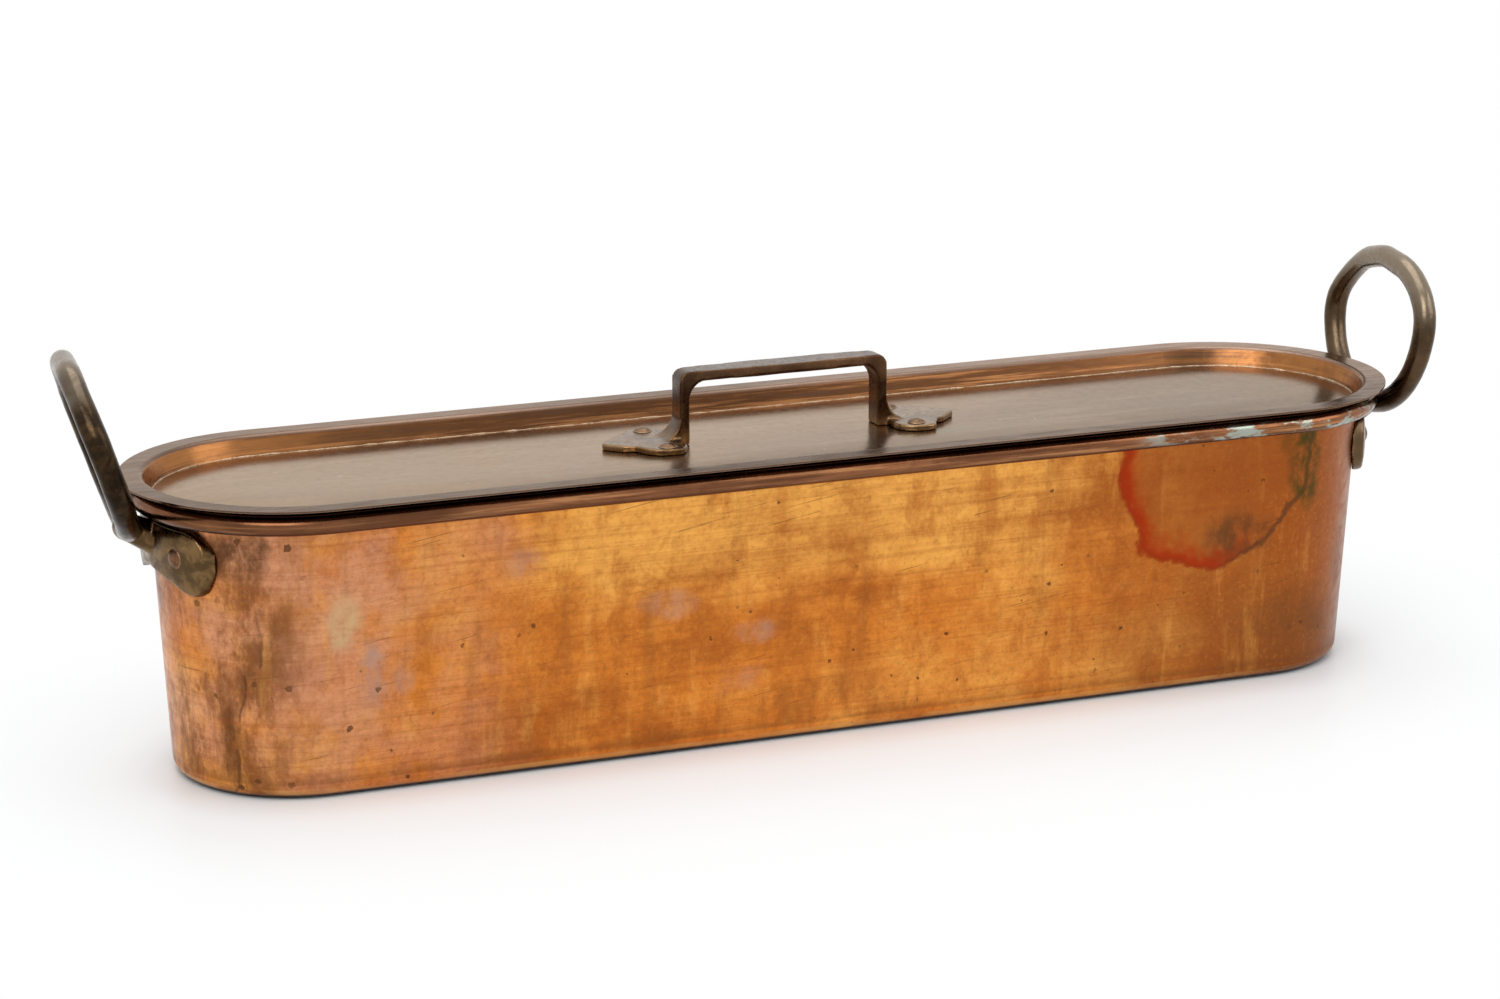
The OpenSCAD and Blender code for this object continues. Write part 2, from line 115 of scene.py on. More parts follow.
class Graph:
    """Short ways to place and link nodes in one shader tree."""

    def __init__(self, tree: bpy.types.NodeTree) -> None:
        """Keeps the tree that the nodes go in."""
        self.tree = tree

    def node(self, kind: str, **settings: object) -> bpy.types.Node:
        """Adds a node and sets its properties.

        Args:
            kind: the node's type.
            settings: properties to set on it.

        Returns:
            The new node.
        """
        made = self.tree.nodes.new(kind)
        for name, value in settings.items():
            setattr(made, name, value)
        return made

    def feed(self, socket: Socket, value: object) -> None:
        """Links an output to an input, or sets the input's own value.

        Args:
            socket: the input.
            value: an output socket, or a plain value.
        """
        if isinstance(value, bpy.types.NodeSocket):
            self.tree.links.new(value, socket)
        else:
            socket.default_value = value

    def add(self, kind: str, *values: object, out: int | str = 0, **settings: object) -> Socket:
        """Adds a node and feeds its inputs in their order.

        Args:
            kind: the node's type.
            values: what goes into its first inputs.
            out: number or name of the output to give.
            settings: properties to set on it.

        Returns:
            The output.
        """
        made = self.node(kind, **settings)
        for socket, value in zip(made.inputs, values):
            self.feed(socket, value)
        return made.outputs[out]

    def math(self, operation: str, *values: object) -> Socket:
        """Gives the result of a Math node."""
        return self.add("ShaderNodeMath", *values, operation=operation)

    def times(self, *values: object) -> Socket:
        """Multiplies values, from the first on."""
        return reduce(partial(self.math, "MULTIPLY"), values)

    def minus(self, first: object, second: object) -> Socket:
        """Gives the first value less the second."""
        return self.math("SUBTRACT", first, second)

    def scaled(self, value: Socket, by: object, plus: object) -> Socket:
        """Gives a value times a factor, plus another value."""
        return self.math("MULTIPLY_ADD", value, by, plus)

    def size(self, value: Socket) -> Socket:
        """Gives a value without its sign."""
        return self.math("ABSOLUTE", value)

    def vector(self, operation: str, *values: object) -> Socket:
        """Gives the vector that a Vector Math node makes."""
        return self.add("ShaderNodeVectorMath", *values, operation=operation)

    def enlarged(self, vector: Socket, by: object) -> Socket:
        """Gives a vector times a factor."""
        return self.vector("MULTIPLY", vector, self.join(by, by, by))

    def length(self, vector: Socket) -> Socket:
        """Gives the length of a vector."""
        return self.add("ShaderNodeVectorMath", vector, out="Value", operation="LENGTH")

    def split(self, vector: Socket) -> tuple[Socket, Socket, Socket]:
        """Gives the three parts of a vector."""
        made = self.node("ShaderNodeSeparateXYZ")
        self.feed(made.inputs[0], vector)
        return made.outputs[0], made.outputs[1], made.outputs[2]

    def join(self, x: object, y: object, z: object) -> Socket:
        """Makes a vector of three parts."""
        return self.add("ShaderNodeCombineXYZ", x, y, z)

    def coordinates(self) -> Socket:
        """Gives the Object coordinates."""
        return self.add("ShaderNodeTexCoord", out="Object")

    def pan_radius(self, x: Socket, y: Socket) -> Socket:
        """Gives the level distance from the line between the middles of the pan's two round ends."""
        past = self.math("MAXIMUM", self.minus(self.size(x), FORM.half_straight), 0.0)
        return self.length(self.join(past, y, 0.0))

    def seen(self) -> Socket:
        """Gives 1 on rays from the camera, straight or by way of mirrors and glass."""
        path = self.node("ShaderNodeLightPath").outputs
        seen = self.math("MAXIMUM", path["Is Camera Ray"], path["Is Glossy Ray"])
        return self.math("MAXIMUM", seen, path["Is Transmission Ray"])

    def step(self, value: object, low: float, high: float) -> Socket:
        """Maps a value smoothly to 0 at low and 1 at high, which may be below low."""
        return self.add("ShaderNodeMapRange", value, low, high, interpolation_type="SMOOTHSTEP")

    def mix(self, share: object, first: object, second: object) -> Socket:
        """Mixes two colours.

        Args:
            share: share of the second colour.
            first: the first colour.
            second: the second colour.

        Returns:
            The mixed colour.
        """
        made = self.node("ShaderNodeMix", data_type="RGBA")
        self.feed(made.inputs["Factor"], share)
        self.feed(made.inputs[6], first)
        self.feed(made.inputs[7], second)
        return made.outputs[2]

    def noise(self, vector: object, scale: float, detail: float = 4.0, roughness: float = 0.55) -> Socket:
        """Reads a Noise texture, which is about 0.5 on average and whose second input has no use here."""
        return self.add("ShaderNodeTexNoise", vector, 0.0, scale, detail, roughness)

    def group(self, tree: bpy.types.NodeTree, **values: object) -> dict[str, Socket]:
        """Places a shared effect.

        Args:
            tree: the effect's node group.
            values: its inputs by name.

        Returns:
            The outputs by name.
        """
        made = self.node("ShaderNodeGroup", node_tree=tree)
        for name, value in values.items():
            self.feed(made.inputs[name], value)
        return {socket.name: socket for socket in made.outputs}


class Effects:
    """Node groups that more than one finish uses, each built once."""

    def __init__(self) -> None:
        """Builds the groups."""
        self.mottle = self._mottle()
        self.pits = self._pits()
        self.edges = self._edges()
        self.stain = self._stain()
        self.brushing = self._brushing()

    @staticmethod
    def _start(
        name: str, inputs: dict[str, str], outputs: tuple[str, ...],
    ) -> tuple[Graph, dict[str, Socket], bpy.types.Node]:
        """Makes an empty group with its sockets.

        Args:
            name: the group's name.
            inputs: socket types by input name.
            outputs: names of the outputs, which are values.

        Returns:
            The group's graph, its inputs by name and its output node.
        """
        tree = bpy.data.node_groups.new(name, "ShaderNodeTree")
        for label, kind in inputs.items():
            tree.interface.new_socket(name=label, in_out="INPUT", socket_type=kind)
        for label in outputs:
            tree.interface.new_socket(name=label, in_out="OUTPUT", socket_type=VALUE)
        graph = Graph(tree)
        into = graph.node("NodeGroupInput")
        out = graph.node("NodeGroupOutput")
        return graph, {label: into.outputs[label] for label in inputs}, out

    def _mottle(self) -> bpy.types.NodeTree:
        """Builds broad clouds and fine blotches of tarnish.

        Returns:
            The group.
        """
        graph, into, out = self._start("mottle", {"Vector": VECTOR, "Scale": VALUE}, ("Cloud", "Blotch"))
        place = graph.enlarged(into["Vector"], into["Scale"])
        cloud = graph.noise(place, 1.0, 3.0, 0.5)
        warped = graph.vector("ADD", place, graph.join(cloud, cloud, cloud))
        blotch = graph.noise(warped, 5.0, 6.0, 0.62)
        graph.feed(out.inputs["Cloud"], graph.step(cloud, 0.36, 0.66))
        graph.feed(out.inputs["Blotch"], graph.step(blotch, 0.4, 0.68))
        return graph.tree

    def _pits(self) -> bpy.types.NodeTree:
        """Builds small uneven pits that gather in clusters.

        Returns:
            The group.
        """
        graph, into, out = self._start("pits", {"Vector": VECTOR, "Scale": VALUE, "Size": VALUE}, ("Mask",))
        uneven = graph.add("ShaderNodeTexNoise", into["Vector"], 0.0, 700.0, out="Color")
        centred = graph.vector("SUBTRACT", uneven, (0.5, 0.5, 0.5))
        moved = graph.vector("ADD", into["Vector"], graph.enlarged(centred, 0.0022))
        cells = graph.node("ShaderNodeTexVoronoi", feature="F1")
        graph.feed(cells.inputs["Vector"], moved)
        graph.feed(cells.inputs["Scale"], into["Scale"])
        chance = graph.split(cells.outputs["Color"])[0]
        size = graph.times(into["Size"], graph.step(chance, 0.6, 1.0))
        dot = graph.math("LESS_THAN", cells.outputs["Distance"], size)
        cluster = graph.step(graph.noise(into["Vector"], 16.0, 2.0), 0.38, 0.56)
        graph.feed(out.inputs["Mask"], graph.times(dot, graph.step(chance, 0.5, 0.9), cluster))
        return graph.tree

    def _edges(self) -> bpy.types.NodeTree:
        """Builds a mask of worn edges from the turn of a softened normal.

        Returns:
            The group.
        """
        graph, into, out = self._start("worn_edges", {"Radius": VALUE, "Vector": VECTOR}, ("Mask",))
        soft = graph.add("ShaderNodeBevel", into["Radius"], samples=4)
        plain = graph.add("ShaderNodeNewGeometry", out="Normal")
        likeness = graph.add("ShaderNodeVectorMath", soft, plain, out="Value", operation="DOT_PRODUCT")
        turn = graph.minus(1.0, likeness)
        ragged = graph.scaled(graph.noise(into["Vector"], 140.0, 3.0), 1.6, 0.2)
        graph.feed(out.inputs["Mask"], graph.step(graph.times(turn, ragged), 0.03, 0.2))
        return graph.tree

    def _stain(self) -> bpy.types.NodeTree:
        """Builds an oval stain with a ragged border, and the distance that its rings follow.

        Returns:
            The group.
        """
        graph, into, out = self._start(
            "stain", {"Vector": VECTOR, "Centre": VECTOR, "Radii": VECTOR, "Rag": VALUE}, ("Mask", "Reach"))
        away = graph.vector("DIVIDE", graph.vector("SUBTRACT", into["Vector"], into["Centre"]), into["Radii"])
        wander = graph.minus(graph.noise(into["Vector"], 34.0, 7.0, 0.58), 0.5)
        reach = graph.scaled(wander, into["Rag"], graph.length(away))
        graph.feed(out.inputs["Mask"], graph.step(reach, 1.1, 0.35))
        graph.feed(out.inputs["Reach"], reach)
        return graph.tree

    def _brushing(self) -> bpy.types.NodeTree:
        """Builds the fine lines of rubbing along the pan, its scratches and its hammered waves.

        Returns:
            The group.
        """
        graph, into, out = self._start("brushing", {"Vector": VECTOR}, ("Lines", "Scratch", "Hammer"))
        drawn = graph.vector("MULTIPLY", into["Vector"], (9.0, 9.0, 420.0))
        graph.feed(out.inputs["Lines"], graph.noise(drawn, 1.0, 5.0, 0.7))
        slant = graph.node("ShaderNodeVectorRotate", rotation_type="Y_AXIS")
        graph.feed(slant.inputs["Vector"], into["Vector"])
        slant.inputs["Angle"].default_value = 0.16
        hair = graph.vector("MULTIPLY", slant.outputs["Vector"], (26.0, 26.0, 1300.0))
        graph.feed(out.inputs["Scratch"], graph.step(graph.noise(hair, 1.0, 2.0, 0.5), 0.69, 0.75))
        graph.feed(out.inputs["Hammer"], graph.noise(into["Vector"], 38.0, 2.0, 0.4))
        return graph.tree


EFFECTS = Effects()


@dataclass(frozen=True)
class Smear:
    """One oval mark: its middle, its half widths, its tone and how strongly it covers."""

    middle: Point
    radii: Point
    paint: Tone
    share: float


class Coat(Graph):
    """A finish in the making on one material: the place on the piece, and the colour so far."""

    def __init__(self, tree: bpy.types.NodeTree) -> None:
        """Reads the place on the piece.

        Args:
            tree: the material's tree.
        """
        super().__init__(tree)
        self.place = self.coordinates()
        self.x, self.y, self.z = self.split(self.place)
        self.colour: object = tone(0.0, 0.0, 0.0)

    def lay(self, paint: object, mask: Socket, share: float = 1.0) -> None:
        """Lays a tone over the colour so far, where the mask is, with a share of its full cover."""
        self.colour = self.mix(self.times(mask, share), self.colour, paint)

    def smear(self, mark: Smear, rag: float, *worn: Socket) -> None:
        """Lays one oval mark with a ragged border, less the parts that the other masks leave out."""
        oval = self.oval(mark.middle, mark.radii, rag)["Mask"]
        self.lay(mark.paint, self.times(oval, *worn), mark.share)

    def oval(self, middle: Point, radii: Point, rag: float) -> dict[str, Socket]:
        """Gives the mask of an oval stain, and the distance that its rings follow."""
        return self.group(EFFECTS.stain, Vector=self.place, Centre=middle, Radii=radii, Rag=rag)

    def drawn(self, stretch: Point) -> Socket:
        """Gives the place, scaled so that a pattern on it is drawn out."""
        return self.vector("MULTIPLY", self.place, stretch)

    def clouds(
        self, scale: float, detail: float = 4.0, roughness: float = 0.55, stretch: Point = EVEN,
    ) -> Socket:
        """Reads a noise on the piece, drawn out where a part of the stretch is under 1."""
        return self.noise(self.drawn(stretch), scale, detail, roughness)

    def mottle(self, scale: float, stretch: Point = EVEN) -> tuple[Socket, Socket]:
        """Gives masks of broad clouds and of fine blotches."""
        made = self.group(EFFECTS.mottle, Vector=self.drawn(stretch), Scale=scale)
        return made["Cloud"], made["Blotch"]

    def pits(self, scale: float, size: object) -> Socket:
        """Gives a mask of small pits."""
        return self.group(EFFECTS.pits, Vector=self.place, Scale=scale, Size=size)["Mask"]

    def worn(self, radius: float) -> Socket:
        """Gives a mask of worn edges."""
        return self.group(EFFECTS.edges, Radius=radius, Vector=self.place)["Mask"]

    def brushing(self) -> tuple[Socket, Socket, Socket]:
        """Gives the lines of rubbing, the scratches and the hammered waves."""
        made = self.group(EFFECTS.brushing, Vector=self.place)
        return made["Lines"], made["Scratch"], made["Hammer"]

    def upward(self) -> Socket:
        """Gives how far the face looks up, from -1 to 1."""
        return self.split(self.add("ShaderNodeNewGeometry", out="Normal"))[2]

    def front(self) -> Socket:
        """Gives 1 on the front of the kettle and 0 on its back."""
        return self.step(self.y, 0.0, -0.02)


@dataclass(frozen=True)
class Finish:
    """Metal finish, with the constants that every finish has."""

    name: str
    metallic: float = 1.0
    roughness: float = 0.35
    bump: float = 0.12
    depth: float = 0.0003
    grazing: Tone = tone(1.0, 1.0, 1.0)

    def build(self) -> bpy.types.Material:
        """Makes the material.

        Returns:
            The finished material.
        """
        material = bpy.data.materials.new(self.name)
        material.use_nodes = True
        material.node_tree.nodes.clear()
        coat = Coat(material.node_tree)
        shader = coat.node("ShaderNodeBsdfPrincipled")
        shader.inputs["Metallic"].default_value = self.metallic
        shader.inputs["Specular Tint"].default_value = self.grazing
        rough, height = self.surface(coat)
        lift = coat.node("ShaderNodeBump")
        lift.inputs["Strength"].default_value = self.bump
        lift.inputs["Distance"].default_value = self.depth
        coat.feed(lift.inputs["Height"], height)
        coat.feed(shader.inputs["Base Color"], coat.colour)
        coat.feed(shader.inputs["Roughness"], rough)
        coat.feed(shader.inputs["Normal"], lift.outputs["Normal"])
        coat.feed(coat.node("ShaderNodeOutputMaterial").inputs["Surface"], shader.outputs[0])
        return material

    def surface(self, coat: Coat) -> tuple[Socket, Socket]:
        """Lays the tones, from the ground up, and gives the roughness and the height."""
        raise NotImplementedError


@dataclass(frozen=True)
class PanCopper(Finish):
    """Rubbed copper of the pan's wall, with its stains, its seam and its tinned inside."""

    depth: float = 0.0006
    gold: Tone = tone(0.71, 0.225, 0.033)
    light: Tone = tone(0.94, 0.46, 0.1)
    deep: Tone = tone(0.45, 0.128, 0.021)
    pink: Tone = tone(0.68, 0.33, 0.2)
    mauve: Tone = tone(0.44, 0.27, 0.21)
    rust: Tone = tone(0.31, 0.077, 0.016)
    red: Tone = tone(0.35, 0.025, 0.005)
    deep_red: Tone = tone(0.3, 0.035, 0.008)
    brown: Tone = tone(0.1, 0.04, 0.018)
    umber: Tone = tone(0.19, 0.066, 0.02)
    dusty: Tone = tone(0.34, 0.14, 0.06)
    buff: Tone = tone(0.62, 0.42, 0.22)
    olive: Tone = tone(0.06, 0.05, 0.012)
    bright: Tone = tone(0.7, 0.38, 0.12)
    underside_shade: Tone = tone(0.06, 0.025, 0.012)
    tin: Tone = tone(0.6, 0.58, 0.55)
    dull_tin: Tone = tone(0.42, 0.4, 0.37)
    rim: Tone = tone(0.3, 0.12, 0.055)
    rim_dark: Tone = tone(0.15, 0.06, 0.028)
    rim_reflection: Tone = tone(0.55, 0.26, 0.11)
    verdigris: Tone = tone(0.37, 0.42, 0.37)
    ring_middle: Point = (0.2, -0.062, 0.124)
    ring_radii: Point = (0.05, 0.06, 0.06)
    ring_rag: float = 0.5
    smear_rag: float = 1.8
    upper_seam: tuple[float, float] = (-0.067, -0.268)
    lower_seam: tuple[float, float] = (0.054, -0.2809)
    seam_jog: tuple[float, float] = (0.0585, 0.0595)

    def surface(self, coat: Coat) -> tuple[Socket, Socket]:
        """Lays the tones, from the ground up.

        Args:
            coat: the finish in the making.

        Returns:
            The roughness and the height.
        """
        blotch = coat.mottle(34.0)[1]
        lines, scratch, hammer = coat.brushing()
        self.rubbing(coat)
        self.ends(coat)
        self.grain(coat, blotch, lines, scratch)
        self.ring(coat)
        self.smears(coat)
        self.seam(coat)
        pits = coat.pits(150.0, coat.scaled(coat.step(coat.x, -0.2, -0.25), 0.11, 0.165))
        coat.lay(self.brown, pits, 0.8)
        self.bottom(coat)
        self.rolled_rim(coat, lines)
        inside = self.inside(coat)
        coat.lay(coat.mix(blotch, self.tin, self.dull_tin), inside)
        rough = coat.scaled(lines, 0.1, coat.scaled(blotch, 0.12, self.roughness - 0.05))
        rough = coat.scaled(inside, 0.15, rough)
        rough = coat.scaled(coat.step(coat.z, FORM.bead_low_z, FORM.bead_low_z + 0.001), -0.12, rough)
        return rough, coat.scaled(pits, -1.0, coat.scaled(hammer, 3.0, lines))

    def rubbing(self, coat: Coat) -> None:
        """Lays the rubbed ground: broad light and deep patches, lighter over the upper middle partly as a
        painted highlight, and upright drifts.

        Args:
            coat: the finish in the making.
        """
        broad = coat.clouds(8.5, 6.0, 0.62, (1.0, 1.0, 1.5))
        coat.colour = coat.mix(coat.step(broad, 0.34, 0.5), self.deep, self.gold)
        # Light over the upper middle of the wall, partly the copper's own polish and partly a painted
        # highlight.
        upper = coat.times(coat.step(coat.z, 0.045, 0.115), coat.step(coat.size(coat.x), 0.22, 0.06))
        coat.lay(self.light, coat.step(coat.scaled(upper, 0.3, broad), 0.48, 0.74), 0.85)
        drift = coat.clouds(46.0, 7.0, 0.68, (1.0, 1.0, 0.5))
        coat.lay(self.deep, coat.step(drift, 0.48, 0.66), 0.6)
        coat.lay(self.light, coat.step(drift, 0.46, 0.3), 0.4)

    def ends(self, coat: Coat) -> None:
        """Turns the wall redder and browner to the right, and pinker and streaked to the left.

        Args:
            coat: the finish in the making.
        """
        cloud = coat.clouds(16.0, 4.0, 0.6)
        right = coat.scaled(cloud, 0.14, coat.x)
        coat.lay(self.rust, coat.step(right, 0.15, 0.31), 0.85)
        coat.lay(self.dusty, coat.step(right, 0.31, 0.37), 0.55)
        low = coat.step(coat.scaled(cloud, -0.1, coat.z), 0.02, -0.035)
        coat.lay(self.umber, coat.times(low, coat.step(coat.x, 0.17, 0.25)), 0.6)
        left = coat.step(coat.scaled(cloud, 0.22, coat.x), -0.02, -0.15)
        coat.lay(self.pink, coat.times(left, coat.step(coat.clouds(27.0, 5.0, 0.6), 0.3, 0.6)), 0.75)
        patch = coat.step(coat.clouds(42.0, 9.0, 0.7, (1.0, 1.0, 0.5)), 0.42, 0.58)
        coat.lay(self.umber, coat.times(patch, coat.step(coat.x, -0.24, -0.275)), 0.8)
        streak = coat.step(coat.clouds(75.0, 4.0, 0.65, (1.0, 1.0, 0.16)), 0.5, 0.72)
        streak = coat.times(streak, coat.step(cloud, 0.36, 0.58), coat.step(coat.x, -0.25, -0.28))
        coat.lay(self.brown, streak, 0.7)

    def grain(self, coat: Coat, blotch: Socket, lines: Socket, scratch: Socket) -> None:
        """Lays the drips, fine blotches, lines, specks and scratches that cover the whole wall.

        Args:
            coat: the finish in the making.
            blotch: the fine blotches.
            lines: the lines of rubbing.
            scratch: the scratches.
        """
        drip = coat.clouds(95.0, 5.0, 0.65, (1.0, 1.0, 0.12))
        coat.lay(self.umber, coat.step(drip, 0.52, 0.7), 0.25)
        coat.lay(self.light, coat.step(drip, 0.46, 0.3), 0.25)
        coat.lay(self.rust, blotch, 0.25)
        coat.lay(self.rust, coat.step(lines, 0.4, 0.75), 0.4)
        speck = coat.clouds(520.0, 3.0, 0.7)
        coat.lay(self.light, coat.step(speck, 0.5, 0.8), 0.18)
        coat.lay(self.umber, coat.step(speck, 0.5, 0.25), 0.3)
        coat.lay(self.brown, scratch, 0.5)

    def ring(self, coat: Coat) -> None:
        """Lays the ring of a spill at the right: red to the left, brown to the right.

        Args:
            coat: the finish in the making.
        """
        front = coat.front()
        reach = coat.oval(self.ring_middle, self.ring_radii, self.ring_rag)["Reach"]
        coat.lay(self.rust, coat.times(coat.step(reach, 1.0, 0.8), front), 0.45)
        washed = coat.scaled(coat.clouds(130.0, 5.0, 0.7), 0.3, coat.minus(reach, 0.15))
        band = coat.times(coat.step(washed, 0.77, 1.01), coat.step(reach, 1.08, 1.03), front)
        coat.lay(self.red, coat.times(band, coat.step(coat.x, 0.236, 0.2)), 0.9)
        line = coat.step(coat.size(coat.minus(reach, 1.05)), 0.045, 0.01)
        line_tone = coat.mix(coat.step(coat.x, 0.19, 0.23), self.deep_red, self.brown)
        coat.lay(line_tone, coat.times(line, front), 0.7)

    def smears(self, coat: Coat) -> None:
        """Lays the single frayed marks on the front.

        Args:
            coat: the finish in the making.
        """
        front = coat.front()
        frayed = coat.step(coat.clouds(95.0, 7.0, 0.68, (1.0, 1.0, 0.6)), 0.3, 0.62)
        for mark in (
            Smear((-0.2353, -0.0623, 0.0839), (0.0105, 0.03, 0.017), self.buff, 0.9),
            Smear((-0.223, -0.0607, 0.0565), (0.0095, 0.03, 0.018), self.mauve, 0.8),
            Smear((-0.208, -0.0607, 0.052), (0.006, 0.03, 0.01), self.mauve, 0.4),
            Smear((-0.151, -0.0632, 0.1003), (0.011, 0.03, 0.008), self.mauve, 0.4),
            Smear((-0.0806, -0.0617, 0.0734), (0.014, 0.03, 0.008), self.mauve, 0.4),
            Smear((-0.0381, -0.0607, 0.0564), (0.012, 0.03, 0.008), self.mauve, 0.6),
            Smear((-0.045, -0.0607, 0.034), (0.016, 0.03, 0.01), self.mauve, 0.3),
            Smear((-0.015, -0.06, 0.022), (0.035, 0.03, 0.012), self.umber, 0.45),
            Smear((-0.2809, -0.0493, 0.1152), (0.019, 0.03, 0.015), self.brown, 0.9),
            Smear((-0.264, -0.055, 0.075), (0.007, 0.03, 0.03), self.umber, 0.5),
            Smear((0.216, -0.062, 0.076), (0.022, 0.03, 0.016), self.brown, 0.75),
            Smear((0.2514, -0.0627, 0.112), (0.0105, 0.03, 0.03), self.olive, 1.0),
            Smear((0.243, -0.0627, 0.122), (0.012, 0.03, 0.008), self.olive, 0.4),
            Smear((0.25, -0.058, 0.026), (0.034, 0.03, 0.022), self.umber, 0.7),
            Smear((0.286, -0.045, 0.05), (0.014, 0.03, 0.045), self.umber, 0.5),
        ):
            coat.smear(mark, self.smear_rag, frayed, front)

    def seam(self, coat: Coat) -> None:
        """Lays the line of the seam at the left end, which steps aside at half height.

        Args:
            coat: the finish in the making.
        """
        upper = coat.scaled(coat.z, *self.upper_seam)
        lower = coat.scaled(coat.z, *self.lower_seam)
        jog = coat.step(coat.z, *self.seam_jog)
        line = coat.math("ADD", coat.times(upper, jog), coat.times(lower, coat.minus(1.0, jog)))
        line = coat.scaled(coat.clouds(45.0), 0.008, coat.minus(line, 0.004))
        off = coat.minus(coat.x, line)
        held = coat.times(coat.front(), coat.step(coat.z, 0.105, 0.055))
        held = coat.times(held, coat.step(coat.clouds(120.0), 0.35, 0.6))
        coat.lay(self.brown, coat.times(coat.step(coat.size(off), 0.0008, 0.0002), held), 0.55)
        shade = coat.times(coat.step(off, -0.012, 0.0), coat.step(off, 0.001, 0.0))
        coat.lay(self.brown, coat.times(shade, held), 0.35)

    def bottom(self, coat: Coat) -> None:
        """Lays grime, a painted highlight along the bottom bend and painted shade under it.

        Args:
            coat: the finish in the making.
        """
        uneven_z = coat.scaled(coat.clouds(60.0, 5.0, 0.65), 0.012, coat.z)
        grime = coat.times(coat.step(uneven_z, 0.019, 0.013), coat.step(coat.z, 0.006, 0.008))
        coat.lay(self.umber, grime, 0.45)
        # Painted highlight: a bright line along the bend, broken into patches.
        line = coat.times(coat.step(coat.z, 0.0055, 0.0042), coat.step(coat.z, 0.0018, 0.0028))
        rubbed = coat.step(coat.clouds(55.0, 5.0, 0.65, (0.3, 1.0, 1.0)), 0.36, 0.6)
        coat.lay(self.bright, coat.times(line, rubbed), 0.6)
        # Painted shade where the bend turns under.
        coat.lay(self.underside_shade, coat.step(coat.z, 0.0026, 0.0012))

    def rolled_rim(self, coat: Coat, lines: Socket) -> None:
        """Gives the rolled rim its tarnish, its lines of painted reflection, a painted shadow of the lid's
        flange along its top, and its verdigris.

        Args:
            coat: the finish in the making.
            lines: the lines of rubbing, laid here as lines of painted reflection.
        """
        wall = coat.colour
        along = (0.3, 1.0, 1.0)
        cloud, blotch = coat.mottle(40.0, along)
        coat.colour = coat.mix(cloud, self.rim, self.rim_dark)
        coat.lay(self.brown, blotch, 0.5)
        # Painted reflection: light and dark lines along the rim.
        coat.lay(self.rim_reflection, coat.step(lines, 0.5, 0.66), 0.75)
        coat.lay(self.brown, coat.step(lines, 0.48, 0.32), 0.7)
        # Painted shadow of the lid's flange along the top of the rim.
        coat.lay(self.brown, coat.step(coat.scaled(cloud, 0.002, coat.z), 0.1302, 0.1285), 0.7)
        coat.lay(self.brown, coat.step(coat.x, -0.1, -0.26), 0.45)
        green = coat.step(coat.clouds(150.0, 5.0, 0.7, along), 0.49, 0.57)
        right = coat.step(coat.scaled(coat.clouds(30.0, 2.0), 0.1, coat.x), 0.19, 0.25)
        coat.lay(self.verdigris, coat.times(green, right), 0.9)
        rim = coat.step(coat.z, FORM.bead_low_z - 0.001, FORM.bead_low_z + 0.0006)
        coat.colour = coat.mix(rim, wall, coat.colour)

    def inside(self, coat: Coat) -> Socket:
        """Gives a mask of the pan's inner face.

        Args:
            coat: the finish in the making.

        Returns:
            1 inside, 0 outside.
        """
        radius = coat.pan_radius(coat.x, coat.y)
        middle = coat.scaled(coat.z, FORM.slope, FORM.base_r - FORM.slope * FORM.edge_z - FORM.sheet / 2)
        within = coat.math("LESS_THAN", coat.minus(radius, middle), 0.0)
        drop = coat.math("MAXIMUM", coat.minus(FORM.edge_z, coat.z), 0.0)
        out = coat.math("MAXIMUM", coat.minus(radius, FORM.base_r - FORM.edge_z), 0.0)
        out = coat.times(out, coat.math("LESS_THAN", coat.z, FORM.edge_z))
        bend = coat.length(coat.join(out, drop, 0.0))
        return coat.times(within, coat.math("LESS_THAN", bend, FORM.edge_z - FORM.sheet / 2))


